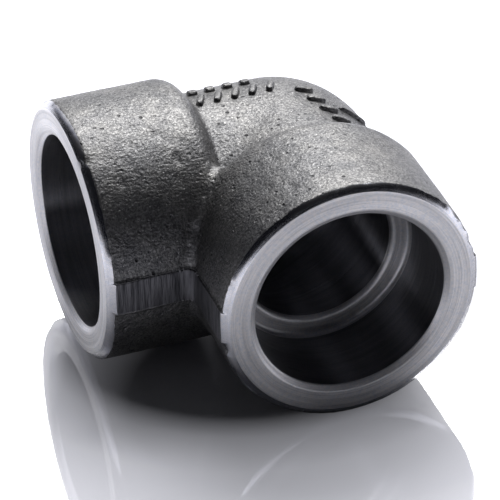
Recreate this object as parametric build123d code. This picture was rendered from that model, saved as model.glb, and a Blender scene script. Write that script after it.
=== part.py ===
from build123d import *
from math import cos, radians, sin, sqrt, tan
import os

# A 90 degree socket weld elbow for NPS 1 pipe: forged in one piece between two dies, then
# turned at both mouths. Millimetres, +Z up. The two axes cross at the origin in the plane
# z = 0, where the dies met. One mouth faces -X, the other -Y.

# Forged skin
collar_r = 23.1
heel_r = 19.5
reach = 38.1
shoulder_from = 18.3
shoulder_round = 4.0
shoulder_slope = 60.0
heel_hollow = 1.0
crotch_round = 2.0
throat_rise = 1.2
web_run_on = 1.5
seam_half = 3.1
seam_stand = 0.1

# Turned mouths
land_r = 21.6
rim_bevel = 0.85
mouth_r = 18.05
mouth_bevel = 0.7
socket_r = 17.0
socket_depth = 16.3
socket_corner = 0.5
bore_r = 13.5
bore_edge = 0.7
drill_point = 118.0

# How far tools and blanks run past the finished faces, and how deep an eased surface
# starts under the one it grows out of
past = 6.0
slip = 0.08


def shoulder_points(grow):
    # Foot of the hollow on the heel, then foot of the round at the collar, as (distance
    # out from the crossing, radius), both thicker by grow.
    turn = radians(shoulder_slope)
    swing = shoulder_round + grow
    end = (shoulder_from - swing * sin(turn), collar_r + grow - swing * (1 - cos(turn)))
    corner = end[0] - (end[1] - heel_r - grow) / tan(turn)
    return (corner - heel_hollow, heel_r + grow), end


def leg_section(grow):
    # Half section of a leg: heel, hollow, slope and round of the shoulder, collar.
    foot, end = shoulder_points(grow)
    low, high = heel_r + grow, collar_r + grow
    swing = shoulder_round + grow
    turn = radians(shoulder_slope)
    middle = (shoulder_from - swing * sin(turn / 2), high - swing * (1 - cos(turn / 2)))
    rise = (foot[0] + heel_hollow * (1 + cos(turn)), low + heel_hollow * sin(turn))
    with BuildSketch() as section:
        with BuildLine():
            Polyline((0, 0), (0, low), foot, rise, end)
            ThreePointArc(end, middle, (shoulder_from, high))
            Polyline((shoulder_from, high), (reach + past, high), (reach + past, 0), (0, 0))
        make_face()
    return section.sketch


def leg_a(section):
    # Spin a half section round the axis of the leg whose mouth faces -X.
    return mirror(revolve(section, axis=Axis.X, revolution_arc=360), about=Plane.YZ)


def leg_b(shape):
    # The other leg is the first one seen in the mirror that stands between the two axes.
    between = Plane(origin=(0, 0, 0), x_dir=(0, 0, 1), z_dir=(1, -1, 0))
    return mirror(shape, about=between)


def throat_fill():
    # Eases the crease between the two heels, wider towards the inner corner: a block cut
    # over and under by two large drums that lie across it.
    foot = shoulder_points(0)[0][0]
    crease = sqrt(heel_r**2 - foot**2)
    drop = heel_r - slip - crease - throat_rise
    drum_r = (2 * foot**2 + drop**2) / (2 * drop)
    drum = Rot(0, 0, 45) * Rot(90, 0, 0) * Cylinder(drum_r, 2 * reach)
    drum = Pos(0, 0, heel_r - slip - drum_r) * drum
    side = shoulder_from - shoulder_round / 2
    block = Pos(-side / 2, -side / 2, 0) * Box(side, side, 2 * heel_r)
    return block & drum & mirror(drum, about=Plane.XY)


def crotch_web():
    # The round in the inner corner where the two collars run together.
    corner = shoulder_from - web_run_on
    long = reach + past - corner
    collar = Pos(-corner - long / 2, 0, 0) * Rot(0, 90, 0) * Cylinder(collar_r - slip / 2, long)
    pair = collar + leg_b(collar)
    creases = [e for e in pair.edges() if abs(e.center().X - e.center().Y) < 0.001]
    creases = [e for e in creases if e.center().X < 0]
    pair = fillet(creases, crotch_round)
    side = collar_r
    middle = -corner - slip - side / 2
    return pair & (Pos(middle, middle, 0) * Box(side, side, 2 * collar_r))


def forged_body():
    leg = leg_a(leg_section(0))
    return leg + leg_b(leg) + Sphere(heel_r) + throat_fill() + crotch_web()


def seam_band():
    # The flat left all round the outline where the flash was trimmed off.
    half = leg_section(seam_stand)
    flat_a = mirror(half, about=Plane.YZ)
    flat_a = flat_a + mirror(flat_a, about=Plane.XZ)
    plan = flat_a + leg_b(flat_a) + Circle(heel_r + seam_stand)
    corner = [v for v in plan.vertices() if abs(v.X - v.Y) < 0.001 and v.X < 0]
    plan = fillet(corner, crotch_round)
    return extrude(plan, amount=seam_half, both=True)


def mouth_trim():
    # What the lathe takes off outside: the face, and the bevel on the rim.
    lean = (collar_r - land_r) / rim_bevel
    with BuildSketch() as section:
        with BuildLine():
            Polyline(
                (reach, 0),
                (reach, land_r),
                (reach - past / lean, land_r + past),
                (reach + 2 * past, land_r + past),
                (reach + 2 * past, 0),
                (reach, 0),
            )
        make_face()
    return leg_a(section.sketch)


def mouth_hole():
    # Bevelled mouth, socket for the pipe, step the pipe stops short of, drilled waterway.
    floor = reach - socket_depth
    lean = (mouth_r - socket_r) / mouth_bevel
    point = bore_r / tan(radians(drill_point / 2))
    with BuildSketch() as section:
        with BuildLine():
            Polyline(
                (-point, 0),
                (0, bore_r),
                (floor - bore_edge, bore_r),
                (floor, bore_r + bore_edge),
                (floor, socket_r - socket_corner),
                (floor + socket_corner, socket_r),
                (reach - mouth_bevel, socket_r),
                (reach + past, mouth_r + past * lean),
                (reach + past, 0),
                (-point, 0),
            )
        make_face()
    return leg_a(section.sketch)


def elbow():
    body = forged_body() + seam_band()
    trim = mouth_trim()
    hole = mouth_hole()
    body = body - trim - leg_b(trim)
    return body - hole - leg_b(hole)


os.makedirs("parts", exist_ok=True)
elbow_body = elbow()
export_step(elbow_body, "parts/elbow_body.step")
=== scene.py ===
"""A forged socket weld elbow on a glossy white table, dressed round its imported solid."""

import math

import bmesh
import bpy
import numpy as np
from mathutils import Matrix, Vector


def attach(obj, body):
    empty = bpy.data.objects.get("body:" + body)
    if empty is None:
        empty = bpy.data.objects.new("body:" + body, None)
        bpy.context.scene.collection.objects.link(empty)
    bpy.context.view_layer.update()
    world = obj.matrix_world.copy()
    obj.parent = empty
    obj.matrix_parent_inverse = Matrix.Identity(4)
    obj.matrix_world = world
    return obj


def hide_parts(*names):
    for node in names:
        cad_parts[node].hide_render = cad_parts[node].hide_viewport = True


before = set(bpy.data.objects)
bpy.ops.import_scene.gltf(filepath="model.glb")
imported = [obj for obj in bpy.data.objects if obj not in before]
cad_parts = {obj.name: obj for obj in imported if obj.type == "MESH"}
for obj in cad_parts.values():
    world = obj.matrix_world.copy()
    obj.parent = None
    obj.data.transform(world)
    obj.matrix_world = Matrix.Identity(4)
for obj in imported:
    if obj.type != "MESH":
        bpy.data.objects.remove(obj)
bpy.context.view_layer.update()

# All sizes below are in millimetres, in the frame of the solid: the two axes cross at the
# origin, the mouths face -X and -Y, and the dies met in the plane z = 0. A distance along a
# leg counts from the crossing.
MM = 0.001

# Forged skin; the crease between the legs has the round CREASE_ROUND at each distance
# CREASE_AT, measured along the throat
COLLAR_R = 23.1
HEEL_R = 19.5
REACH = 38.1
SHOULDER_FROM = 18.3
SHOULDER_ROUND = 4.0
SHOULDER_SLOPE = math.radians(60.0)
HOLLOW_ROUND = 1.5
OUTLINE_END = 80.0
CREASE_AT = (0, 6, 12, 18, 22, 26, 30)
CREASE_ROUND = (0.02, 0.6, 1.9, 3.6, 2.8, 1.8, 1.8)

# Trimmed band: half height, stand above the skin, how much of its height counts in its
# round, the noise on its two edges as (height, size), a seed for each edge, and how far
# along that noise each section plane of the bend lies from the last
BAND_HALF = 3.1
BAND_STAND = 0.02
BAND_FLATNESS = 0.6
BAND_RAGS = ((0.30, 4.0), (0.12, 1.2))
BAND_RAG_SEEDS = (21, 23)
BAND_RAG_STEP = 0.3

# Noise: lattice cells before it repeats, and a shift that keeps all places positive. Below,
# its layers are given as (height, size, seed), and pits as (depth, noise value where they
# start, noise value where they are full, size, seed).
LATTICE = 32
LATTICE_SHIFT = 512.5

# Wear of the skin: mean depth, waves, pits, the share left on the heel, and the distances
# between which it grows to the full
SKIN_DEPTH = 0.15
SKIN_WAVES = ((0.060, 7.0, 3), (0.045, 2.6, 4), (0.030, 1.1, 5))
SKIN_PITS = (0.14, 0.45, 0.85, 1.5, 6)
HEEL_SHARE = 0.35
FULL_WEAR = (12, 19)

# Gutter beside the band: depth, height where it ends, distances between which it sets in
GUTTER_DEPTH = 0.05
GUTTER_TOP = 7.5
GUTTER_FROM = (13, 20)

# Ragged rim of the skin: depth, noise size and seed, and how far from the mouth it sets in
# and is full
RAGGED_DEPTH = 0.16
RAGGED_NOISE = (0.9, 7)
RAGGED_FROM = 2.6
RAGGED_FULL = 1.0

# Wear of the band: mean depth, how little a height counts in its marks, waves, deep marks
BAND_DEPTH = 0.06
SHEAR_DRAW = 0.06
BAND_WAVES = ((0.05, 0.9, 11), (0.03, 2.7, 12))
BAND_PITS = (0.14, 0.5, 0.8, 1.4, 13)

# Chips knocked out of the rims: place, depth and width
RIM_CHIPS = (
    ((-37.2, -10.3, 20.7), 0.45, 0.8),
    ((22.2, -37.2, 6.6), 0.60, 1.0),
    ((21.0, -37.4, 9.6), 0.45, 0.8),
    ((19.6, -36.8, 12.2), 0.55, 1.1),
    ((-22.6, -37.2, -4.6), 0.45, 0.9),
)

# Raised die marks on the heel, plain bars and dots: middle x, y, turn in degrees from x,
# half length, half width, height
DIE_MARKS = (
    *((x, 2.4, 65.0, 1.9, 0.72, 0.75) for x in (-12.2, -9.0, -5.8, -2.6, 0.6)),
    *((x, 6.4, 0.0, 0.95, 0.95, 0.75) for x in (-12.4, -9.2, -6.0, -2.8)),
    *((6.0 + 1.15 * i, 0.2 - 3.1 * i, -5.0, 1.7, 0.70, 0.72) for i in range(4)),
    (13.2, -4.3, -7.0, 2.4, 0.6, 0.65),
)

# Form of a die mark: how far its plan rounds off, how sharply its sides rise, how deep it
# is rooted under the even skin, how far its underside bellies out, and noise on its top
MARK_ROUND = 0.28
MARK_SIDES = 0.42
MARK_ROOT = 0.5
MARK_BELLY = 0.3
MARK_ROUGH = (0.06, 0.8, 31)

# Turned mouths; the bevel on the rim is longer on the mouth that faces -X
LAND_R = 21.6
RIM_BEVELS = (1.40, 0.85)
MOUTH_R = 18.05
MOUTH_BEVEL = 0.7
SOCKET_R = 17.0
SOCKET_DEPTH = 16.3
SOCKET_ROUND = 0.7
BORE_R = 13.5
BORE_EDGE = 0.9
DRILL_TURN = math.radians(59.0)
DRILL_ROUND = 0.6

# Nick that a knock left on the rim of the mouth that faces -X: angle, depth, half width,
# and over which radius it grows inside the land's edge and fades below the collar
NICK_TURN = math.radians(116.0)
NICK_DEPTH = 0.45
NICK_HALF = 0.55
NICK_GROWTH = 0.45
NICK_FADE = 0.8

# Section planes of the skin: they turn by FAN_TURN degrees about an upright line at
# (-PIVOT, -PIVOT), and the rays in the last one start FAN_MIDDLE from both axes. FAN_BEND
# is how much its columns are drawn towards the heel.
PIVOT = 25.5
FAN_MIDDLE = 11.0
FAN_TURN = 45.0
FAN_BEND = 0.45

# First ring of the skin's straight run, as its distance from the mouth, before the rim is
# fitted; and at the band's edges, the angle between two close columns on either side, and
# the steepest ray on which an edge is looked for
RIM_SPARE = 0.6
EDGE_SLIP = 0.055 / 20
EDGE_LIMIT = math.radians(55)

# Points along the outline's two arcs, and the distances at which it is read
HOLLOW_STEPS = 24
SHOULDER_STEPS = 40
OUTLINE_READ = (0, 40, 4001)

# Rows and columns of the skin
STRAIGHT_ROWS = 28
FAN_ROWS = 106
SKIN_COLUMNS = 104
BAND_COLUMNS = 11

# Rings of a turned mouth: how far the close pairs stand from an edge, where on the rim's
# bevel the first ring lies, and the counts and end gaps of the even rings
EDGE_STEP = 0.07
BEVEL_RING = 0.45
FACE_RINGS, FACE_GAPS = 6, (0.6, 0.5)
WALL_RINGS, WALL_GAPS = 10, (1.6, 0.3)
FLOOR_RINGS, FLOOR_GAP = 4, 0.15
ROUND_RINGS = 7
BORE_ROWS = 12

# Finishes, and the rows of faces that carry them, counted from the rim
# The socket's finish, on the socket and the waterway, is steel painted far darker than the face:
# painted shade.
SKIN, FACE, SOCKET_PAINTED_SHADE, BEVEL = range(4)
BEVEL_ROWS = 3
FACE_ROWS = 18
STEP_ROWS = (29, 47)

# Points along and across a die mark
MARK_STEPS = (21, 15)

# Searches: along a ray, where it may leave the part; along x, where the bore may end; how
# often each is halved, and how often the rim is fitted
RAY_SPAN = (1.0, 60.0)
BORE_SPAN = (-BORE_R - 1.0, 8.0)
RAY_TURNS = 34
EDGE_TURNS = 22
BORE_TURNS = 40
RIM_TURNS = 5

# Half the length over which a slope of the surface is measured
SLOPE_STEP = 0.02


# ---------------------------------------------------------------------------- shapes

def arc(middle, radius, start, stop, steps):
    """Points of a circular arc: middle plus radius times (cos, sin) of evenly spaced angles."""
    turn = np.radians(np.linspace(start, stop, steps))
    return np.stack([middle[0] + radius * np.cos(turn), middle[1] + radius * np.sin(turn)], 1)


def leg_outline():
    """Half section of a leg as (distance from the crossing, radius): a straight heel, a
    hollow arc tangent to it, the sloping shoulder, a round arc tangent to the collar."""
    turn = SHOULDER_SLOPE
    high = (SHOULDER_FROM, COLLAR_R - SHOULDER_ROUND)
    end = (high[0] - SHOULDER_ROUND * math.sin(turn), high[1] + SHOULDER_ROUND * math.cos(turn))
    corner = end[0] - (end[1] - HEEL_R) / math.tan(turn)
    low = (corner - HOLLOW_ROUND * math.tan(turn / 2), HEEL_R + HOLLOW_ROUND)
    degrees = math.degrees(turn)
    return np.concatenate([
        [(0.0, HEEL_R)],
        arc(low, HOLLOW_ROUND, -90, -90 + degrees, HOLLOW_STEPS),
        arc(high, SHOULDER_ROUND, 90 + degrees, 90, SHOULDER_STEPS),
        [(OUTLINE_END, COLLAR_R)],
    ])


OUTLINE = leg_outline()
OUT_AT = np.linspace(*OUTLINE_READ)
OUT_R = np.interp(OUT_AT, OUTLINE[:, 0], OUTLINE[:, 1])
OUT_LEAN = np.sqrt(1 + np.gradient(OUT_R, OUT_AT) ** 2)


def leg_gap(x, y, z):
    """How far a point stands off the leg on -X: its distance from the axis less the leg's
    radius there, over the lean of the outline, with a ball past the crossing."""
    out = np.maximum(-x, 0)
    far = np.sqrt(y * y + z * z + np.maximum(x, 0) ** 2)
    return (far - np.interp(out, OUT_AT, OUT_R)) / np.interp(out, OUT_AT, OUT_LEAN)


def skin_gap(x, y, z):
    """How far a point stands off the forged skin: the lesser of the gaps to the two legs,
    less h squared k over 4, where h falls from 1 to 0 as the gaps come to differ by k.
    That k, the crease's round, is read at the point's distance along the throat."""
    a, b = leg_gap(x, y, z), leg_gap(y, x, z)
    k = np.interp(-(x + y) / math.sqrt(2), CREASE_AT, CREASE_ROUND)
    h = np.clip(1 - np.abs(a - b) / k, 0, 1)
    return np.minimum(a, b) - h * h * k / 4


def band_gap(x, y, z):
    """The same for the trimmed band, flatter upright: only a share of the height counts."""
    return skin_gap(x, y, BAND_FLATNESS * z) - BAND_STAND


def cast(gap, start, way):
    """Where rays leave the part: the distance is halved in on the change of the gap's sign."""
    low, high = (np.full(start.shape[:-1], end) for end in RAY_SPAN)
    for _ in range(RAY_TURNS):
        middle = (low + high) / 2
        p = start + way * middle[..., None]
        inside = gap(p[..., 0], p[..., 1], p[..., 2]) < 0
        low, high = np.where(inside, middle, low), np.where(inside, high, middle)
    return (low + high) / 2


def lattice_noise(p, size, seed):
    """Smooth random values from -1 to 1: random numbers on a cubic lattice, blended between
    the eight corners round each point by the cubic 3f^2 - 2f^3."""
    table = np.random.default_rng(seed).uniform(-1, 1, (LATTICE,) * 3)
    q = p / size + LATTICE_SHIFT
    cell = np.floor(q).astype(int)
    f = q - cell
    f = f * f * (3 - 2 * f)
    total = np.zeros(p.shape[:-1])
    for corner in np.ndindex(2, 2, 2):
        weight = np.ones(p.shape[:-1])
        for axis, far_side in enumerate(corner):
            weight = weight * (f[..., axis] if far_side else 1 - f[..., axis])
        i, j, k = np.moveaxis((cell + corner) % LATTICE, -1, 0)
        total += weight * table[i, j, k]
    return total


def smooth_step(a, b, v):
    """0 below a, 1 above b, and the cubic between."""
    f = np.clip((v - a) / (b - a), 0, 1)
    return f * f * (3 - 2 * f)


def layered(p, layers):
    """The sum of noise layers, each its height times the noise of its size and seed."""
    return sum(height * lattice_noise(p, size, seed) for height, size, seed in layers)


def pits(p, depth, start, full, size, seed):
    """Pits where noise runs high: their depth times the cubic step of that noise."""
    return depth * smooth_step(start, full, lattice_noise(p, size, seed))


def other_leg(p):
    """The mirror between the two legs swaps x and y."""
    return p[..., [1, 0, 2]]


def skin_wear(p):
    """How deep the skin lies under its even form: its mean depth, waves and pits that are
    quieter on the heel, a gutter beside the trimmed band, a ragged rim, and the chips, each
    a bell: its depth times e to the minus squared distance over squared width."""
    out = np.maximum(-p[..., 0], -p[..., 1])
    rough = HEEL_SHARE + (1 - HEEL_SHARE) * smooth_step(*FULL_WEAR, out)
    rough = rough * (layered(p, SKIN_WAVES) + pits(p, *SKIN_PITS))
    gutter = GUTTER_DEPTH * smooth_step(GUTTER_TOP, BAND_HALF, np.abs(p[..., 2]))
    gutter = gutter * smooth_step(*GUTTER_FROM, out)
    ragged = smooth_step(REACH - RAGGED_FROM, REACH - RAGGED_FULL, out)
    ragged = ragged * RAGGED_DEPTH * np.abs(lattice_noise(p, *RAGGED_NOISE))
    chips = sum(
        deep * np.exp(-((p - np.array(spot)) ** 2).sum(-1) / wide ** 2)
        for spot, deep, wide in RIM_CHIPS
    )
    return SKIN_DEPTH + rough + gutter + ragged + chips


def band_wear(p):
    """How deep the trimmed band lies under its even form: shear marks that run straight up,
    so they vary only along the outline, with a few deep ones."""
    flat = p * np.array([1.0, 1.0, SHEAR_DRAW])
    return BAND_DEPTH + layered(flat, BAND_WAVES) + pits(flat, *BAND_PITS)


def fan(rows):
    """Section planes from the end of the straight run to the mirror plane: each holds the
    upright line through the pivot and turns about it by an even step up to 45 degrees.
    Returns for each plane its way outwards, the ray centre on it and its share of the fan."""
    turn = np.radians(np.linspace(0, FAN_TURN, rows))
    way = np.stack([np.sin(turn), np.cos(turn), np.zeros(rows)], 1)
    f = np.linspace(0, 1, rows)
    last = (PIVOT - FAN_MIDDLE) * math.sqrt(2)
    out = PIVOT + (last - PIVOT) * f * f * (3 - 2 * f)
    middle = np.array([-PIVOT, -PIVOT, 0.0]) + way * out[:, None]
    return way, middle, f


def ray_ways(way, turn):
    """Rays in a section plane: cos of the angle times the way outwards plus sin times up."""
    up = np.array([0, 0, 1.0])
    return way[:, None, :] * np.cos(turn)[..., None] + up * np.sin(turn)[..., None]


def band_edges(way, middle, side, height):
    """The angle at which each plane's section stands as high as the band's edge, by halving;
    side 0 looks outwards and side pi towards the crotch."""
    low, high = np.zeros(len(way)), np.full(len(way), EDGE_LIMIT)
    for _ in range(EDGE_TURNS):
        guess = (low + high) / 2
        turn = guess if side == 0 else math.pi - guess
        ways = ray_ways(way, turn[:, None])
        far = cast(skin_gap, middle[:, None, :] + 0 * ways, ways)
        up = (far * ways[..., 2])[:, 0] > height
        low, high = np.where(up, low, guess), np.where(up, guess, high)
    return (low + high) / 2


def spread(count, bend):
    """Even steps from 0 to 1 (ends left out), drawn towards 0 where bend is above 1."""
    f = (np.arange(count) + 1) / (count + 1)
    return f[None, :] ** bend[:, None]


def column_angles(way, middle, share, height_up, height_down):
    """Ray angles of all columns for each plane: even over the band, two close ones at each
    of its edges, and even over the skin between, drawn towards the heel in the fan. Returns
    the angles and which columns lie on the band."""
    steps = (np.arange(BAND_COLUMNS) / BAND_COLUMNS)[None, :]
    grow = spread(SKIN_COLUMNS, 1 + FAN_BEND * share)
    halves = []
    for height in (height_up, height_down):
        out = band_edges(way, middle, 0, height)[:, None]
        back = band_edges(way, middle, math.pi, height)[:, None]
        near = (out - EDGE_SLIP) * steps
        first, last = out + EDGE_SLIP, math.pi - back - EDGE_SLIP
        skin = first + (last - first) * grow
        far = math.pi - (back - EDGE_SLIP) * (1 - steps)
        halves.append(np.concatenate([near, out - EDGE_SLIP, first, skin, last, far], 1))
    upper, lower = halves
    end = np.full((len(way), 1), math.pi)
    turn = np.concatenate([upper, end, -lower[:, :0:-1]], 1)
    flags = np.zeros(upper.shape[1], bool)
    flags[:BAND_COLUMNS + 1] = True
    flags[-BAND_COLUMNS:] = True
    on_band = np.concatenate([flags, [True], flags[:0:-1]])
    return turn, on_band


def band_height(path, seed):
    """Half height of the band at places along it: its mean plus noise of two sizes."""
    height = BAND_HALF
    for step, (tall, size) in enumerate(BAND_RAGS):
        height = height + tall * lattice_noise(path, size, seed + step)
    return height


def half_skin():
    """The even skin of the leg on -X: for the straight run a circle of rays square to the
    axis, then the fan, each ray ended where it leaves the form. Returns the points and which
    columns lie on the band."""
    way, middle, share = fan(FAN_ROWS)
    reach = np.linspace(0, 1, STRAIGHT_ROWS, endpoint=False)
    x = -REACH + RIM_SPARE + (REACH - RIM_SPARE - PIVOT) * reach
    way = np.concatenate([np.tile([0.0, 1.0, 0.0], (STRAIGHT_ROWS, 1)), way])
    middle = np.concatenate([np.stack([x, 0 * x, 0 * x], 1), middle])
    share = np.concatenate([0 * x, share])
    path = np.concatenate([x, -PIVOT + np.cumsum(np.full(FAN_ROWS, BAND_RAG_STEP))])
    path = np.stack([path, 0 * path, 0 * path], 1)
    up, down = (band_height(path, seed) for seed in BAND_RAG_SEEDS)
    turn, on_band = column_angles(way, middle, share, up, down)
    ways = ray_ways(way, turn)
    starts = middle[:, None, :] + 0 * ways
    points = np.empty_like(ways)
    for gap, mine in ((skin_gap, ~on_band), (band_gap, on_band)):
        s, w = starts[:, mine], ways[:, mine]
        points[:, mine] = s + w * cast(gap, s, w)[..., None]
    return points, on_band


def outward(points, on_band):
    """The way square to the surface: the slopes of the gap along x, y and z, made unit."""
    d = SLOPE_STEP
    ways = np.empty_like(points)
    for gap, mine in ((skin_gap, ~on_band), (band_gap, on_band)):
        x, y, z = np.moveaxis(points[:, mine], -1, 0)
        ways[:, mine, 0] = gap(x + d, y, z) - gap(x - d, y, z)
        ways[:, mine, 1] = gap(x, y + d, z) - gap(x, y - d, z)
        ways[:, mine, 2] = gap(x, y, z + d) - gap(x, y, z - d)
    return ways / np.linalg.norm(ways, axis=-1, keepdims=True)


def worn(points, on_band, swap):
    """The even surface pressed in along its own outward way by the wear at each point. The
    wear is read where the point ends up, so for the other leg with x and y swapped."""
    at = other_leg(points) if swap else points
    depth = np.where(on_band[None, :], band_wear(at), skin_wear(at))
    return points - outward(points, on_band) * depth[..., None]


def fit_rim(points, on_band, swap, bevel):
    """Moves the first straight rows so that the skin starts where the worn surface meets the
    cone of the rim's bevel, found by going back and forth between the two a few times."""
    lean = bevel / (COLLAR_R - LAND_R)
    share = (np.arange(STRAIGHT_ROWS) / STRAIGHT_ROWS)[:, None]
    shaped = points.copy()
    for _ in range(RIM_TURNS):
        rim = worn(shaped[:1], on_band, swap)
        start = -REACH + (np.hypot(rim[..., 1], rim[..., 2]) - LAND_R) * lean
        shaped[:STRAIGHT_ROWS, :, 0] = start + (-PIVOT - start) * share
    return shaped


def turned_rings(bevel):
    """Rings of a turned mouth from the rim to the end of the socket's step, as (distance
    from the crossing, radius), with close pairs at the edges that hold them crisp."""
    e = EDGE_STEP
    lean = bevel / (COLLAR_R - LAND_R)
    mouth_lean = MOUTH_BEVEL / (MOUTH_R - SOCKET_R)
    foot = REACH - MOUTH_BEVEL
    floor = REACH - SOCKET_DEPTH
    face = np.linspace(LAND_R - FACE_GAPS[0], MOUTH_R + FACE_GAPS[1], FACE_RINGS)
    wall = np.linspace(REACH - WALL_GAPS[0], floor + SOCKET_ROUND + WALL_GAPS[1], WALL_RINGS)
    corner = (floor + SOCKET_ROUND, SOCKET_R - SOCKET_ROUND)
    ledge = (corner[1] - FLOOR_GAP, BORE_R + BORE_EDGE + FLOOR_GAP)
    edge = (floor - BORE_EDGE, BORE_R + BORE_EDGE)
    rim_bevel_to_land = [
        (REACH - BEVEL_RING * lean, LAND_R + BEVEL_RING),
        (REACH - 2.2 * e * lean, LAND_R + 2.2 * e),
        (REACH - 0.9 * e * lean, LAND_R + 0.8 * e),
        (REACH, LAND_R - e),
        (REACH, LAND_R - 3 * e),
    ]
    land_to_socket = [
        (REACH, MOUTH_R + 3 * e),
        (REACH, MOUTH_R + e),
        (REACH - e * mouth_lean, MOUTH_R - e),
        (REACH - 3 * e * mouth_lean, MOUTH_R - 3 * e),
        (foot + 3 * e * mouth_lean, SOCKET_R + 3 * e),
        (foot + e * mouth_lean, SOCKET_R + e),
        (foot - e, SOCKET_R),
        (foot - 3 * e, SOCKET_R),
    ]
    return np.concatenate([
        rim_bevel_to_land,
        [(REACH, r) for r in face],
        land_to_socket,
        [(u, SOCKET_R) for u in wall],
        arc(corner, SOCKET_ROUND, 90, 180, ROUND_RINGS),
        [(floor, r) for r in np.linspace(*ledge, FLOOR_RINGS)],
        arc(edge, BORE_EDGE, 0, -90, ROUND_RINGS),
    ])


def round_axis(x, radius, turn):
    """Points of a turned form on the leg on -X: x, then the radius times cos and sin of the
    angle of each column."""
    return np.stack([x, radius * np.cos(turn)[None, :], radius * np.sin(turn)[None, :]], -1)


def rim_nick(radius, turn):
    """How far a knock has pushed the edge of one rim inward: a narrow bell round one angle,
    growing from nothing on the flat land to its full depth at the bevel."""
    off = (np.mod(turn - NICK_TURN + np.pi, 2 * np.pi) - np.pi) * LAND_R / NICK_HALF
    growth = np.clip((radius - LAND_R + NICK_GROWTH) / NICK_GROWTH, 0, 1)
    fade = np.clip((COLLAR_R - radius) / NICK_FADE, 0, 1)
    return NICK_DEPTH * (growth * fade) * np.exp(-off ** 2)[None, :]


def bore_radius(x):
    """Radius of the drilled waterway: it holds up to the crossing and then falls by the
    drill point's cone, with a small round between."""
    return BORE_R - math.tan(DRILL_TURN) * (x + np.sqrt(x * x + DRILL_ROUND ** 2)) / 2


def bore_points(turn):
    """The drilled waterway up to the mirror plane; a column ends where x equals its radius
    times cos of its angle, found by halving."""
    low, high = (np.full(turn.shape, end) for end in BORE_SPAN)
    for _ in range(BORE_TURNS):
        middle = (low + high) / 2
        before = middle < bore_radius(middle) * np.cos(turn)
        low, high = np.where(before, middle, low), np.where(before, high, middle)
    start = -(REACH - SOCKET_DEPTH - BORE_EDGE)
    share = (np.arange(1, BORE_ROWS + 1) / BORE_ROWS)[:, None]
    x = start + (low - start)[None, :] * share
    return round_axis(x, bore_radius(x), turn)


def profile_way(points):
    """Length along the turned profile, added up from row to row, averaged over a ring."""
    axial, radial = points[..., 0], np.hypot(points[..., 1], points[..., 2])
    step = np.hypot(np.diff(axial, axis=0), np.diff(radial, axis=0)).mean(1)
    return np.concatenate([[0], np.cumsum(step)])


def elbow_leg(even, on_band, swap, bevel):
    """One leg, at the place of the leg on -X: rows run from the mirror plane out along the
    skin, then in along the mouth, the socket and the waterway. Returns its points, the
    lathe's coordinates (length along the turned profile, cos and sin of the angle) and the
    way the lathe's grooves run."""
    rings = turned_rings(bevel)
    skin = worn(fit_rim(even, on_band, swap, bevel), on_band, swap)
    turn = np.unwrap(np.arctan2(skin[0, :, 2], skin[0, :, 1]))
    mouth = round_axis(-rings[:, :1] + 0 * turn[None, :], rings[:, 1:], turn)
    if not swap:
        mouth[..., 0] += rim_nick(rings[:, 1:], turn)
    inner = np.concatenate([mouth, bore_points(turn)])
    leg = np.concatenate([skin[::-1], inner])
    along = np.concatenate([np.zeros(len(skin)), profile_way(inner)])
    still = 0 * leg[..., 0]
    c, s = np.cos(turn) + still, np.sin(turn) + still
    return leg, np.stack([along[:, None] + still, c, s], -1), np.stack([still, -s, c], -1)


def elbow_grid():
    """The whole elbow as one closed grid: the rows of one leg, then those of the other in
    reverse; columns go round. Returns points, the lathe's coordinates and the way of its
    grooves at each point, and the finish of each row of faces."""
    even, on_band = half_skin()
    one, two = (
        elbow_leg(even, on_band, swap, bevel)
        for swap, bevel in zip((False, True), RIM_BEVELS)
    )
    back = slice(-2, 0, -1)
    points = np.concatenate([one[0], other_leg(two[0])[back]])
    lathe = np.concatenate([one[1], two[1][back]])
    groove = np.concatenate([one[2], other_leg(two[2])[back]])
    rim = STRAIGHT_ROWS + FAN_ROWS - 1
    finish = np.full(len(one[0]) - 1, SOCKET_PAINTED_SHADE)
    finish[:rim] = SKIN
    finish[rim:rim + FACE_ROWS] = FACE
    finish[rim:rim + BEVEL_ROWS] = BEVEL
    finish[rim + STEP_ROWS[0]:rim + STEP_ROWS[1]] = FACE
    return points, lathe, groove, np.concatenate([finish, finish[::-1]])


def closed_grid_faces(rows, columns):
    """Quads of a grid whose rows and columns both close on themselves, facing outwards."""
    i, j = np.meshgrid(np.arange(rows), np.arange(columns), indexing="ij")
    here, there = i * columns, (i + 1) % rows * columns
    j2 = (j + 1) % columns
    return np.stack([there + j, there + j2, here + j2, here + j], -1).reshape(-1, 4)


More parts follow.
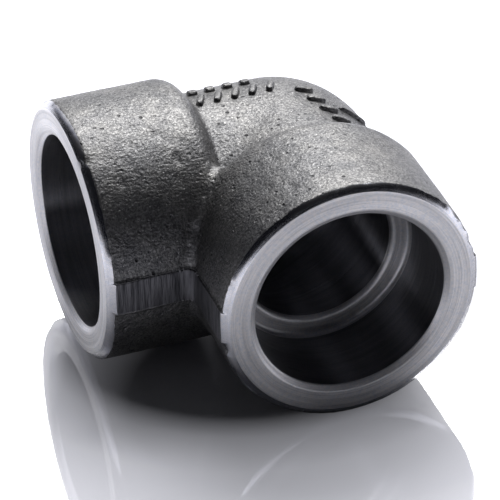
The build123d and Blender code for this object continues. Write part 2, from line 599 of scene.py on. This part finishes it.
def marks_grid():
    """The die marks as closed pillows on the heel. In each, u and v run from -1 to 1, pressed
    towards the edges by a sine; the plan is a rounded bar, u and v each drawn in by the
    square of the other, laid out along the bar's turn. A ray straight up finds the skin under
    each point, and the point stands off it by a height that is flat on top and falls
    steeply at the edges. Returns the points and the quads of top and bottom."""
    marks = np.array(DIE_MARKS)[:, :, None, None]
    x0, y0, turn, long, wide, tall = (marks[:, i] for i in range(6))
    u, v = (np.sin(np.linspace(-1, 1, steps) * math.pi / 2) for steps in MARK_STEPS)
    u, v = u[None, :, None], v[None, None, :]
    a = long * u * np.sqrt(1 - MARK_ROUND * v * v)
    b = wide * v * np.sqrt(1 - MARK_ROUND * u * u)
    c, s = np.cos(np.radians(turn)), np.sin(np.radians(turn))
    start = np.stack([x0 + a * c - b * s, y0 + a * s + b * c, 0 * a], -1)
    up = np.zeros_like(start) + np.array([0, 0, 1.0])
    on = start + up * cast(skin_gap, start, up)[..., None]
    way = outward(on.reshape(1, -1, 3), np.zeros(on[..., 0].size, bool)).reshape(on.shape)
    body = np.clip((1 - u ** 8) * (1 - v ** 4), 0, 1) ** MARK_SIDES
    rough = layered(on, (MARK_ROUGH,)) * body
    rise = (tall + (MARK_ROOT - SKIN_DEPTH)) * body
    belly = MARK_BELLY * (1 - u * u) * (1 - v * v)
    top = on + way * (-MARK_ROOT + rise + rough)[..., None]
    under = on + way * (-MARK_ROOT - belly + 0 * a)[..., None]
    count, rows, columns = a.shape
    i, j = np.meshgrid(np.arange(rows - 1), np.arange(columns - 1), indexing="ij")
    here, there = i * columns + j, (i + 1) * columns + j
    quads = np.stack([here, there, there + 1, here + 1], -1).reshape(-1, 4)
    step = rows * columns
    tops = (quads[None] + step * np.arange(count)[:, None, None]).reshape(-1, 4)
    unders = tops[:, ::-1] + step * count
    points = np.concatenate([top.reshape(-1, 3), under.reshape(-1, 3)])
    return points, np.concatenate([tops, unders])


def make_mesh(name, points, faces, finishes, materials):
    """A mesh object in metres from arrays of points and quads, with a material index for
    each face, smooth shaded; close pairs of rows keep the real edges crisp."""
    mesh = bpy.data.meshes.new(name)
    mesh.vertices.add(len(points))
    mesh.vertices.foreach_set("co", (points * MM).astype(np.float32).ravel())
    mesh.loops.add(faces.size)
    mesh.loops.foreach_set("vertex_index", faces.astype(np.int32).ravel())
    mesh.polygons.add(len(faces))
    mesh.polygons.foreach_set("loop_start", np.arange(len(faces), dtype=np.int32) * 4)
    mesh.polygons.foreach_set("loop_total", np.full(len(faces), 4, np.int32))
    mesh.update(calc_edges=True)
    mesh.polygons.foreach_set("material_index", finishes.astype(np.int32))
    mesh.polygons.foreach_set("use_smooth", np.ones(len(faces), bool))
    for material in materials:
        mesh.materials.append(material)
    mesh.validate()
    piece = bpy.data.objects.new(name, mesh)
    bpy.context.scene.collection.objects.link(piece)
    return piece


# ------------------------------------------------------------------------- materials

# Patterns of the skin, as (scale per millimetre, detail, roughness) of their noise, and how
# the drawn-out ones are stretched
BROAD = (0.09, 3, 0.55)
CLOUD = (0.40, 4, 0.55)
GRAIN = (2.5, 5, 0.75)
SAND = (2.1, 2, 0.5)
SPECK = (3.6, 2, 0.5)
WRINKLE, WRINKLE_STRETCH = (1.0, 2, 0.5), (0.85, 1.7, 1.7)
SHEAR, SHEAR_STRETCH = (1.0, 3, 0.65), (1.7, 1.7, 0.12)
HOLE_CELLS = 0.52
HOLE_FIELDS = (0.33, 2, 0.5)

# Colours and masks of the skin, as ramp stops over those patterns
GRAIN_TONES = [
    (0.34, (0.080, 0.080, 0.083)),
    (0.50, (0.178, 0.177, 0.179)),
    (0.68, (0.335, 0.331, 0.328)),
]
CLOUD_TONES = [(0.35, (0.86, 0.86, 0.87)), (0.65, (1.14, 1.135, 1.12))]
BROAD_TONES = [(0.35, (0.88, 0.885, 0.90)), (0.65, (1.12, 1.11, 1.09))]
SPECK_MASK = [(0.67, 0.0), (0.74, 1.0)]
SPECK_COLOUR = (0.60, 0.59, 0.58)
HOLE_MASK = [(0.07, 0.0), (0.19, 1.0)]
NO_HOLES_MASK = [(0.44, 1.0), (0.56, 0.0)]
HOLE_COLOUR = (0.05, 0.05, 0.053)
SHEAR_TONES = [(0.35, (0.070, 0.070, 0.078)), (0.65, (0.230, 0.228, 0.245))]
SKIN_ROUGHNESS = [(0.3, 0.54), (0.7, 0.41)]

# The band's mask over the height in units of BAND_UNIT millimetres
BAND_UNIT = 10.0
BAND_MASK = [(0.29, 1.0), (0.33, 0.0)]

# Relief of the skin: the weight of each pattern, and the depth of the whole in metres
SAND_RELIEF = 0.75
WRINKLE_RELIEF = 0.55
GRAIN_RELIEF = 0.45
HOLE_RELIEF = 0.9
CLOUD_RELIEF = 0.9
SHEAR_RELIEF = 1.2
SKIN_BUMP = 0.00015

# The lathe's rings, the broader bands under them and the marks of handling
RINGS, RINGS_STRETCH = (1.0, 5, 0.85), (3.6, 0.7, 0.7)
BANDS, BANDS_STRETCH = (1.0, 2, 0.5), (1.2, 1.1, 1.1)
HANDLED = (2.4, 4, 0.7)
RIDGE_MASK = [(0.32, 0.0), (0.68, 1.0)]
BANDS_TONES = [(0.3, 0.84), (0.7, 1.08)]
HANDLED_TONES = [
    (0.34, (0.84, 0.88, 0.95)),
    (0.5, (0.98, 0.98, 0.99)),
    (0.68, (1.08, 1.04, 1.01)),
]
HANDLED_RELIEF = 0.25
VALLEY_ROUGHER = 0.10
RIDGE_SMOOTHER = 0.06
GROOVE_STRENGTH = 0.6
QUARTER_TURN = 0.25


def new_group(name, inputs, outputs):
    """A shader node group with the named (name, kind, default) inputs and (name, kind)
    outputs."""
    group = bpy.data.node_groups.new(name, "ShaderNodeTree")
    for label, kind, value in inputs:
        socket = group.interface.new_socket(label, in_out="INPUT", socket_type=kind)
        socket.default_value = value
    for label, kind in outputs:
        group.interface.new_socket(label, in_out="OUTPUT", socket_type=kind)
    return group, group.nodes.new("NodeGroupInput"), group.nodes.new("NodeGroupOutput")


def feed(tree, made, feeds):
    """Feeds the sockets of a node, named or numbered: another socket is linked to them, and
    a number or a colour is set on them."""
    for key, value in feeds.items():
        socket = made.inputs[key]
        if isinstance(value, bpy.types.NodeSocket):
            tree.links.new(value, socket)
        elif socket.type == "RGBA":
            socket.default_value = (*value, 1)
        else:
            socket.default_value = value


def node(tree, kind, feeds, **settings):
    """Adds a node, sets it up and feeds its sockets."""
    made = tree.nodes.new(kind)
    for key, value in settings.items():
        setattr(made, key, value)
    feed(tree, made, feeds)
    return made


def math_node(tree, operation, *values):
    """A math node on one or two values, each a socket or a number."""
    feeds = dict(enumerate(values))
    return node(tree, "ShaderNodeMath", feeds, operation=operation).outputs[0]


def weighed(tree, terms):
    """The sum of sockets, each times its weight."""
    total = None
    for value, weight in terms:
        part = math_node(tree, "MULTIPLY", value, weight)
        total = part if total is None else math_node(tree, "ADD", total, part)
    return total


def ramp(tree, value, stops):
    """A colour ramp with the given (place, grey or colour) stops."""
    made = node(tree, "ShaderNodeValToRGB", {0: value})
    elements = made.color_ramp.elements
    while len(elements) < len(stops):
        elements.new(0.5)
    for element, (place, colour) in zip(elements, stops):
        element.position = place
        element.color = (colour, colour, colour, 1) if isinstance(colour, float) else (*colour, 1)
    return made.outputs[0]


def mix_colour(tree, factor, a, b, blend="MIX"):
    """A colour mix: a factor, and two colours or sockets, which are inputs 6 and 7."""
    feeds = {0: factor, 6: a, 7: b}
    return node(tree, "ShaderNodeMix", feeds, data_type="RGBA", blend_type=blend).outputs[2]


def tinted(tree, colour, value, tones):
    """A colour times the ramp of a pattern."""
    return mix_colour(tree, 1.0, colour, ramp(tree, value, tones), "MULTIPLY")


def noise(tree, vector, scale, detail, rough):
    """Noise over a vector socket."""
    feeds = {"Vector": vector, "Scale": scale, "Detail": detail, "Roughness": rough}
    return node(tree, "ShaderNodeTexNoise", feeds).outputs["Fac"]


def stretched(tree, vector, scale):
    """A vector scaled by three numbers, to draw a pattern out along an axis."""
    return node(tree, "ShaderNodeMapping", {"Vector": vector, "Scale": scale}).outputs["Vector"]


def in_millimetres(tree):
    """Object coordinates in millimetres."""
    where = tree.nodes.new("ShaderNodeTexCoord")
    return stretched(tree, where.outputs["Object"], (1 / MM,) * 3)


def plain_material(name):
    """A node material with its Principled shader ready."""
    material = bpy.data.materials.new(name)
    material.use_nodes = True
    tree = material.node_tree
    return material, tree, tree.nodes["Principled BSDF"]


def scale_skin():
    """Shot blasted forging skin: dark oxide with sand and finer grit, short wrinkles along x,
    pinholes and worn bright specks; on the trimmed band, shear marks that run straight up."""
    material, tree, shader = plain_material("forged_skin")
    at = in_millimetres(tree)
    cloud, grain = noise(tree, at, *CLOUD), noise(tree, at, *GRAIN)
    wrinkle = noise(tree, stretched(tree, at, WRINKLE_STRETCH), *WRINKLE)
    shear = noise(tree, stretched(tree, at, SHEAR_STRETCH), *SHEAR)
    upright = node(tree, "ShaderNodeSeparateXYZ", {0: at}).outputs["Z"]
    height = math_node(tree, "ABSOLUTE", upright)
    on_band = ramp(tree, math_node(tree, "DIVIDE", height, BAND_UNIT), BAND_MASK)

    tone = ramp(tree, grain, GRAIN_TONES)
    tone = tinted(tree, tone, cloud, CLOUD_TONES)
    tone = tinted(tree, tone, noise(tree, at, *BROAD), BROAD_TONES)
    bright = ramp(tree, noise(tree, at, *SPECK), SPECK_MASK)
    tone = mix_colour(tree, bright, tone, SPECK_COLOUR)
    cells = node(tree, "ShaderNodeTexVoronoi", {"Vector": at, "Scale": HOLE_CELLS})
    sound = ramp(tree, noise(tree, at, *HOLE_FIELDS), NO_HOLES_MASK)
    holes = ramp(tree, cells.outputs["Distance"], HOLE_MASK)
    holes = math_node(tree, "MAXIMUM", holes, sound)
    tone = mix_colour(tree, holes, HOLE_COLOUR, tone)
    tone = mix_colour(tree, on_band, tone, ramp(tree, shear, SHEAR_TONES))

    grit = weighed(tree, [
        (noise(tree, at, *SAND), SAND_RELIEF),
        (wrinkle, WRINKLE_RELIEF),
        (grain, GRAIN_RELIEF),
        (holes, HOLE_RELIEF),
        (cloud, CLOUD_RELIEF),
    ])
    grit = mix_colour(tree, on_band, grit, math_node(tree, "MULTIPLY", shear, SHEAR_RELIEF))
    relief = {"Strength": 1.0, "Distance": SKIN_BUMP, "Height": grit}
    feed(tree, shader, {
        "Base Color": tone,
        "Metallic": 1.0,
        "Roughness": ramp(tree, grain, SKIN_ROUGHNESS),
        "Normal": node(tree, "ShaderNodeBump", relief).outputs["Normal"],
    })
    return material


def lathe_work():
    """Node group of the lathe's work: fine rings along the turned profile over broader
    ones, mottled a little by handling. Gives colour, roughness and height."""
    inputs = [
        ("Bright", "NodeSocketColor", (0.8, 0.8, 0.8, 1.0)),
        ("Dark", "NodeSocketColor", (0.5, 0.5, 0.5, 1.0)),
        ("Rough valley", "NodeSocketFloat", 0.4),
        ("Smooth ridge", "NodeSocketFloat", 0.3),
    ]
    outputs = [
        ("Colour", "NodeSocketColor"),
        ("Roughness", "NodeSocketFloat"),
        ("Height", "NodeSocketFloat"),
    ]
    group, start, end = new_group("lathe_work", inputs, outputs)
    valley, smooth = start.outputs["Rough valley"], start.outputs["Smooth ridge"]
    lathe = node(group, "ShaderNodeAttribute", {}, attribute_name="lathe").outputs["Vector"]
    rings = noise(group, stretched(group, lathe, RINGS_STRETCH), *RINGS)
    bands = noise(group, stretched(group, lathe, BANDS_STRETCH), *BANDS)
    handled = noise(group, in_millimetres(group), *HANDLED)
    ridge = ramp(group, rings, RIDGE_MASK)
    tone = mix_colour(group, ridge, start.outputs["Dark"], start.outputs["Bright"])
    tone = tinted(group, tone, bands, BANDS_TONES)
    tone = tinted(group, tone, handled, HANDLED_TONES)
    fall = math_node(group, "MULTIPLY", ridge, math_node(group, "SUBTRACT", valley, smooth))
    low = math_node(group, "MULTIPLY", handled, HANDLED_RELIEF)
    feed(group, end, {
        "Colour": tone,
        "Roughness": math_node(group, "SUBTRACT", valley, fall),
        "Height": math_node(group, "ADD", rings, low),
    })
    return group


def turned_steel(name, work, colour, dark, rough, groove, spread_out):
    """Turned steel whose gloss spreads across the grooves: its colour, the share of it left
    in the valleys, its roughness, the depth of the grooves in metres, and the spread."""
    material, tree, shader = plain_material(name)
    pattern = node(tree, "ShaderNodeGroup", {
        "Bright": colour,
        "Dark": tuple(c * dark for c in colour),
        "Rough valley": rough + VALLEY_ROUGHER,
        "Smooth ridge": rough - RIDGE_SMOOTHER,
    }, node_tree=work)
    groove_way = node(tree, "ShaderNodeAttribute", {}, attribute_name="groove")
    relief = {
        "Strength": GROOVE_STRENGTH,
        "Distance": groove,
        "Height": pattern.outputs["Height"],
    }
    feed(tree, shader, {
        "Base Color": pattern.outputs["Colour"],
        "Roughness": pattern.outputs["Roughness"],
        "Metallic": 1.0,
        "Anisotropic": spread_out,
        "Anisotropic Rotation": QUARTER_TURN,
        "Tangent": groove_way.outputs["Vector"],
        "Normal": node(tree, "ShaderNodeBump", relief).outputs["Normal"],
    })
    return material


# ------------------------------------------------------------------------- the piece

# Points of a die mark nearer than this many metres are one point
WELD = 1e-7


def build_elbow():
    """The whole elbow: its forged skin, and three finishes of turned steel, the one in the socket
    darkened as painted shade.
    """
    points, lathe, groove, finish = elbow_grid()
    rows, columns = points.shape[:2]
    work = lathe_work()
    materials = [
        scale_skin(),
        turned_steel("turned_face", work, colour=(0.87, 0.86, 0.865), dark=0.62,
                     rough=0.41, groove=0.00004, spread_out=0.62),
        # The socket's steel is far darker than the face's: painted shade inside the socket and
        # the bore.
        turned_steel("turned_socket_painted_shade", work, colour=(0.28, 0.28, 0.295), dark=0.70,
                     rough=0.32, groove=0.000008, spread_out=0.85),
        turned_steel("turned_bevel", work, colour=(0.80, 0.80, 0.83), dark=0.62,
                     rough=0.22, groove=0.00003, spread_out=0.35),
    ]
    faces = closed_grid_faces(rows, columns)
    finishes = np.repeat(finish, columns)
    piece = make_mesh("forged_elbow", points.reshape(-1, 3), faces, finishes, materials)
    for name, values in (("lathe", lathe), ("groove", groove)):
        attribute = piece.data.attributes.new(name, "FLOAT_VECTOR", "POINT")
        attribute.data.foreach_set("vector", values.astype(np.float32).ravel())
    return piece


def build_marks(skin):
    """The raised die marks, in the skin's finish."""
    points, faces = marks_grid()
    piece = make_mesh("die_marks", points, faces, np.zeros(len(faces)), [skin])
    shape = bmesh.new()
    shape.from_mesh(piece.data)
    bmesh.ops.remove_doubles(shape, verts=shape.verts, dist=WELD)
    shape.to_mesh(piece.data)
    shape.free()
    return piece


elbow = build_elbow()
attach(elbow, "root")
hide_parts("elbow_body")
marks = build_marks(elbow.data.materials[0])
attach(marks, "root")


# ------------------------------------------------------------------------- the studio

# Table: half size in metres, colour, and how much of it is mirror and how blurred
TABLE_HALF = 3.0
TABLE_WHITE = (0.91, 0.915, 0.99)
TABLE_MIRROR = 0.30
TABLE_BLUR = 0.03

# The table's own glow is painted light, as ramps over distances in units of GLOW_UNIT
# millimetres: each is nil near the part, which leaves a painted shadow there, and rises further
# out. One starts round a middle in front of the part and is seen in mirrors too. Two are only for
# the camera: round PART_MIDDLE, and along minus x plus SIDE_SLANT times y.
GLOW_TINT = (0.92, 0.925, 1.0)
GLOW_UNIT = 200.0
PAINTED_SHADOW_MIDDLE = (-8.0, -30.0, -COLLAR_R)
GLOW = [(0.14, 0.0), (0.27, 0.20), (0.48, 0.42), (0.85, 0.85)]
PART_MIDDLE = (-7.0, 0.0, -COLLAR_R)
PART_GLOW = [(0.17, 0.0), (0.20, 0.17), (0.25, 0.31), (0.32, 0.29), (0.42, 0.45)]
SIDE_SLANT = 0.5
SIDE_GLOW = [(0.19, 0.0), (0.23, 0.30)]

# World: the way to the backdrop, its ramp over the cosine to that way, the room's level and
# tint, and the level and tint for all that is neither seen nor mirrored
BACKDROP_WAY = (0.30, 0.76, 0.58)
BACKDROP = [(0.64, 0.0), (0.84, 1.0)]
ROOM_LEVEL = 0.009
ROOM_TINT = (0.70, 0.74, 1.0)
WHITE = (1.0, 1.0, 1.0)
WORLD_DIM = 0.03
WORLD_TINT = (0.95, 0.97, 1.0)

# Lamp: place and side in metres, power in watts
KEY_PLACE = (0.23, 0.34, 0.57)
KEY_SIDE = 0.50
KEY_POWER = 5.0

# Camera: turn from -Y, height and roll in degrees, place in metres, lens and sensor in
# millimetres
CAMERA_TURNS = (-18.936, 34.126, -1.581)
CAMERA_PLACE = (-0.20109, -0.57233, 0.39785)
CAMERA_LENS = 297.64
CAMERA_SENSOR = 36
CAMERA_NEAR = 0.05


def bare_tree(owner):
    """The emptied node tree of a material or a world."""
    owner.use_nodes = True
    owner.node_tree.nodes.clear()
    return owner.node_tree


def seen_rays(tree):
    """1 for rays from the camera, off gloss or through glass, and 0 for the rest; and 1 for
    the camera's rays alone."""
    path = tree.nodes.new("ShaderNodeLightPath").outputs
    camera = path["Is Camera Ray"]
    either = math_node(tree, "MAXIMUM", camera, path["Is Glossy Ray"])
    return math_node(tree, "MAXIMUM", either, path["Is Transmission Ray"]), camera


def far_from(tree, at, place):
    """Distance of each point from a place, in the glow's units."""
    offset = node(tree, "ShaderNodeVectorMath", {0: at, 1: place}, operation="SUBTRACT")
    length = {0: offset.outputs["Vector"]}
    away = node(tree, "ShaderNodeVectorMath", length, operation="LENGTH")
    return math_node(tree, "DIVIDE", away.outputs["Value"], GLOW_UNIT)


def glow_level(tree):
    """How strongly the table glows, as painted light: the glow that all seen rays meet, nil in a
    painted shadow in front of the part, plus for the camera the glow round the part and the glow
    to its left, both nil near it."""
    at = in_millimetres(tree)
    seen, camera = seen_rays(tree)
    # Painted light that is nil in front of the part, a painted shadow, and is seen in mirrors
    # too.
    level = ramp(tree, far_from(tree, at, PAINTED_SHADOW_MIDDLE), GLOW)
    near = ramp(tree, far_from(tree, at, PART_MIDDLE), PART_GLOW)
    across = node(tree, "ShaderNodeSeparateXYZ", {0: at}).outputs
    slant = math_node(tree, "MULTIPLY", across["Y"], SIDE_SLANT)
    leftward = math_node(tree, "SUBTRACT", slant, across["X"])
    side = ramp(tree, math_node(tree, "DIVIDE", leftward, GLOW_UNIT), SIDE_GLOW)
    shown = math_node(tree, "MULTIPLY", math_node(tree, "ADD", near, side), camera)
    return math_node(tree, "MULTIPLY", seen, math_node(tree, "ADD", level, shown))


def white_table():
    """A large glossy white sheet just under the part: part mirror, part plain white, with a glow
    of painted light that leaves a painted shadow round the part.
    """
    size, z = TABLE_HALF, -COLLAR_R * MM
    corners = [(-size, -size, z), (size, -size, z), (size, size, z), (-size, size, z)]
    mesh = bpy.data.meshes.new("table")
    mesh.from_pydata(corners, [], [(0, 1, 2, 3)])
    table = bpy.data.objects.new("table", mesh)
    bpy.context.scene.collection.objects.link(table)
    material = bpy.data.materials.new("white_table")
    tree = bare_tree(material)
    flat = node(tree, "ShaderNodeBsdfDiffuse", {"Color": TABLE_WHITE})
    gloss = node(tree, "ShaderNodeBsdfGlossy", {"Color": WHITE, "Roughness": TABLE_BLUR})
    # Painted light: the table glows, but not round the part, where this leaves a painted shadow.
    glow = node(tree, "ShaderNodeEmission", {"Color": GLOW_TINT, "Strength": glow_level(tree)})
    layers = {0: TABLE_MIRROR, 1: flat.outputs[0], 2: gloss.outputs[0]}
    surface = node(tree, "ShaderNodeMixShader", layers)
    both = node(tree, "ShaderNodeAddShader", {0: surface.outputs[0], 1: glow.outputs[0]})
    node(tree, "ShaderNodeOutputMaterial", {0: both.outputs[0]})
    mesh.materials.append(material)


def studio_world():
    """White to the camera. In mirrors it is a white backdrop behind the part that fades into
    a darker room to the sides, in front and overhead. To everything else it is dim."""
    world = bpy.data.worlds.new("studio")
    bpy.context.scene.world = world
    tree = bare_tree(world)
    seen, camera = seen_rays(tree)
    ways = {0: tree.nodes.new("ShaderNodeTexCoord").outputs["Generated"], 1: BACKDROP_WAY}
    facing = node(tree, "ShaderNodeVectorMath", ways, operation="DOT_PRODUCT")
    behind = ramp(tree, facing.outputs["Value"], BACKDROP)
    room = math_node(tree, "MAXIMUM", behind, ROOM_LEVEL)
    level = math_node(tree, "MAXIMUM", camera, room)
    tint = mix_colour(tree, level, ROOM_TINT, WHITE)
    bright = node(tree, "ShaderNodeBackground", {0: tint, 1: level})
    dim = node(tree, "ShaderNodeBackground", {0: WORLD_TINT, 1: WORLD_DIM})
    layers = {0: seen, 1: dim.outputs[0], 2: bright.outputs[0]}
    mix = node(tree, "ShaderNodeMixShader", layers)
    node(tree, "ShaderNodeOutputWorld", {0: mix.outputs[0]})


def soft_lamp(name, place, side, power):
    """A square lamp that faces the part."""
    lamp = bpy.data.lights.new(name, "AREA")
    lamp.shape = "SQUARE"
    lamp.size = side
    lamp.energy = power
    thing = bpy.data.objects.new(name, lamp)
    thing.location = place
    thing.rotation_euler = (-Vector(place)).to_track_quat("-Z", "Y").to_euler()
    bpy.context.scene.collection.objects.link(thing)


def photo_camera():
    """The camera that the mouths' rings in the photograph were fitted to: it looks down from
    its turn and height, rolled about its own line of sight."""
    turn, height, roll = (math.radians(a) for a in CAMERA_TURNS)
    level = math.cos(height)
    back = Vector((math.sin(turn) * level, -math.cos(turn) * level, math.sin(height)))
    right = Vector((math.cos(turn), math.sin(turn), 0))
    up = back.cross(right)
    across = math.cos(roll) * right + math.sin(roll) * up
    upward = -math.sin(roll) * right + math.cos(roll) * up
    lens = bpy.data.cameras.new("photo_camera")
    lens.sensor_width = CAMERA_SENSOR
    lens.lens = CAMERA_LENS
    lens.clip_start = CAMERA_NEAR
    camera = bpy.data.objects.new("photo_camera", lens)
    axes = Matrix((across, upward, back)).transposed().to_4x4()
    camera.matrix_world = Matrix.Translation(CAMERA_PLACE) @ axes
    bpy.context.scene.collection.objects.link(camera)
    bpy.context.scene.camera = camera


white_table()
studio_world()
soft_lamp("key_lamp", KEY_PLACE, KEY_SIDE, KEY_POWER)
photo_camera()
bpy.context.scene.view_settings.view_transform = "Standard"
